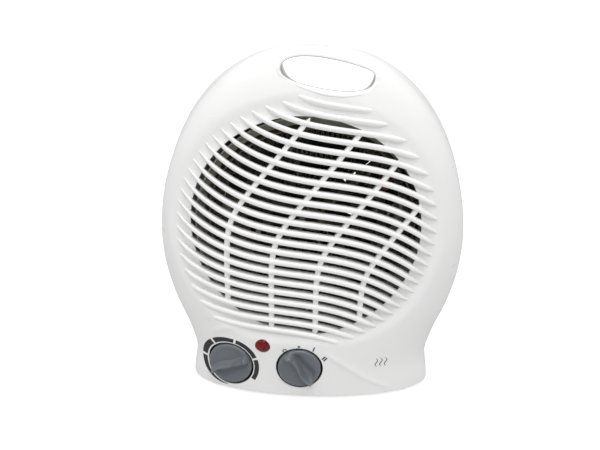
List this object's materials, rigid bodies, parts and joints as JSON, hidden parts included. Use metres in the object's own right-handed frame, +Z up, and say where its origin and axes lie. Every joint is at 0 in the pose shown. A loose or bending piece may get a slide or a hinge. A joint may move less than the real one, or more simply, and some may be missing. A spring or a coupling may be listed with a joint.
{
  "type": "fan convector heater",
  "caption": "Upright electric fan heater in a rounded white casing with a carrying hole, wave-barred outlet, two rotary controls and a pilot lamp.",
  "frame": {"origin": "on the floor under the middle of the whole heater", "axes": "+Z up, the outlet and the controls face -Y, +X to the right seen from the front"},
  "size_m": [0.216, 0.1328, 0.258],
  "materials": {
    "white_abs": "glossy white moulding with a very faint texture",
    "slate_plastic": "satin slate grey moulding",
    "black_plastic": "satin black moulding",
    "zinc_sheet": "dull pressed sheet, warm grey",
    "zinc_plate": "zinc plated",
    "motor_steel": "laminated electrical steel",
    "copper_winding": "enamelled copper wire",
    "mica_board": "flaky mica board",
    "resistance_ribbon": "oxidised resistance alloy",
    "phenolic": "red-brown phenolic",
    "ceramic": "unglazed steatite",
    "red_lens": "clear red faceted lens",
    "wire_sleeve": "glass braid sleeve",
    "grey_rubber": "matt grey rubber"
  },
  "bodies": {
    "casing": {"front_shell": "white_abs", "front_grille": "white_abs", "rear_shell": "white_abs", "rear_guard": "white_abs", "air_duct": "zinc_sheet", "motor_bracket": "zinc_plate", "motor_stack": "motor_steel", "motor_coil": "copper_winding", "bearing_bridge_front": "zinc_plate", "bearing_bridge_rear": "zinc_plate", "heater_frame": "mica_board", "heating_ribbon_1": "resistance_ribbon", "heating_ribbon_2": "resistance_ribbon", "heating_ribbon_3": "resistance_ribbon", "thermal_cutout": "phenolic", "thermal_fuse": "ceramic", "selector_switch": "black_plastic", "thermostat_body": "ceramic", "lamp_lens": "red_lens", "lamp_body": "ceramic", "terminal_block": "ceramic", "cord_bush": "black_plastic", "wire_supply": "wire_sleeve", "wire_thermostat": "wire_sleeve", "wire_heater": "wire_sleeve", "bracket_screw_1": "zinc_plate", "bracket_screw_2": "zinc_plate", "bracket_screw_3": "zinc_plate", "case_screw_1": "zinc_plate", "case_screw_2": "zinc_plate", "case_screw_3": "zinc_plate", "case_screw_4": "zinc_plate", "case_screw_5": "zinc_plate", "case_screw_6": "zinc_plate", "foot_1": "grey_rubber", "foot_2": "grey_rubber", "foot_3": "grey_rubber", "foot_4": "grey_rubber"},
    "fan": {"impeller": "black_plastic", "motor_rotor": "motor_steel", "motor_spindle": "motor_steel"},
    "selector": {"selector_knob": "slate_plastic", "selector_shaft": "zinc_plate"},
    "thermostat": {"thermostat_knob": "slate_plastic", "thermostat_shaft": "zinc_plate"}
  },
  "joints": [
    {"name": "fan_spin", "type": "hinge", "parent": "casing", "child": "fan", "pos_m": [0, 0.0182, 0.132], "axis": [0, -1, 0], "continuous": true},
    {"name": "selector_turn", "type": "hinge", "parent": "casing", "child": "selector", "pos_m": [-0.0072, -0.05594, 0.0282], "axis": [0, 0.9962, -0.0872], "range_deg": [0, 102]},
    {"name": "thermostat_turn", "type": "hinge", "parent": "casing", "child": "thermostat", "pos_m": [-0.0585, -0.0486, 0.025], "axis": [0.2237, 0.969, -0.1045], "range_deg": [-239, 41]}
  ]
}
